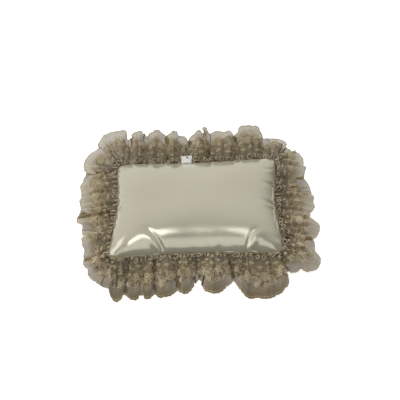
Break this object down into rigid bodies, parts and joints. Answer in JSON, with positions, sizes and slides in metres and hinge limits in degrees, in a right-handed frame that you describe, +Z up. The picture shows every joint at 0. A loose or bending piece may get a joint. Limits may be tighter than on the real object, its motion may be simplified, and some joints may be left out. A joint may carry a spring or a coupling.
{
  "type": "ring bearer pillow",
  "caption": "Small oblong satin pillow with a gathered lace ruffle sewn into its seam, shown with its plain back up and a ribbon bow for the rings underneath.",
  "frame": {"origin": "middle of the pillow in plan, at the height of the surface that its flat belly rests on", "axes": "+X along the pillow's long side, to the right as the near side is looked at; +Y away from the near side, towards the side with the label; +Z up, out of the plain back panel"},
  "size_m": [0.3691, 0.2993, 0.0499],
  "materials": {
    "satin": "satin",
    "satin_front": "satin",
    "fibre": "matte",
    "tape": "matte",
    "lace": "matte",
    "lace_thread": "matte",
    "sewing_thread": "satin",
    "label": "satin",
    "ribbon": "satin"
  },
  "bodies": {
    "pillow": {"back_panel": "satin", "front_panel": "satin_front", "fibre_fill": "fibre", "heading_tape": "tape", "lace_ruffle": "lace", "gathering_stitches": "lace_thread", "seam_stitching": "sewing_thread", "closing_stitches": "sewing_thread", "lace_join_stitches": "lace_thread", "label_stitches": "sewing_thread", "ring_ribbon_1": "ribbon", "ring_ribbon_2": "ribbon", "bow_knot": "ribbon", "ribbon_tack": "sewing_thread"},
    "label": {"care_label": "label"}
  },
  "joints": [
    {"name": "label_flap", "type": "hinge", "parent": "pillow", "child": "label", "pos_m": [-0.015, 0.0851, 0.0265], "axis": [1, 0, 0], "range_deg": [0, 80]}
  ]
}
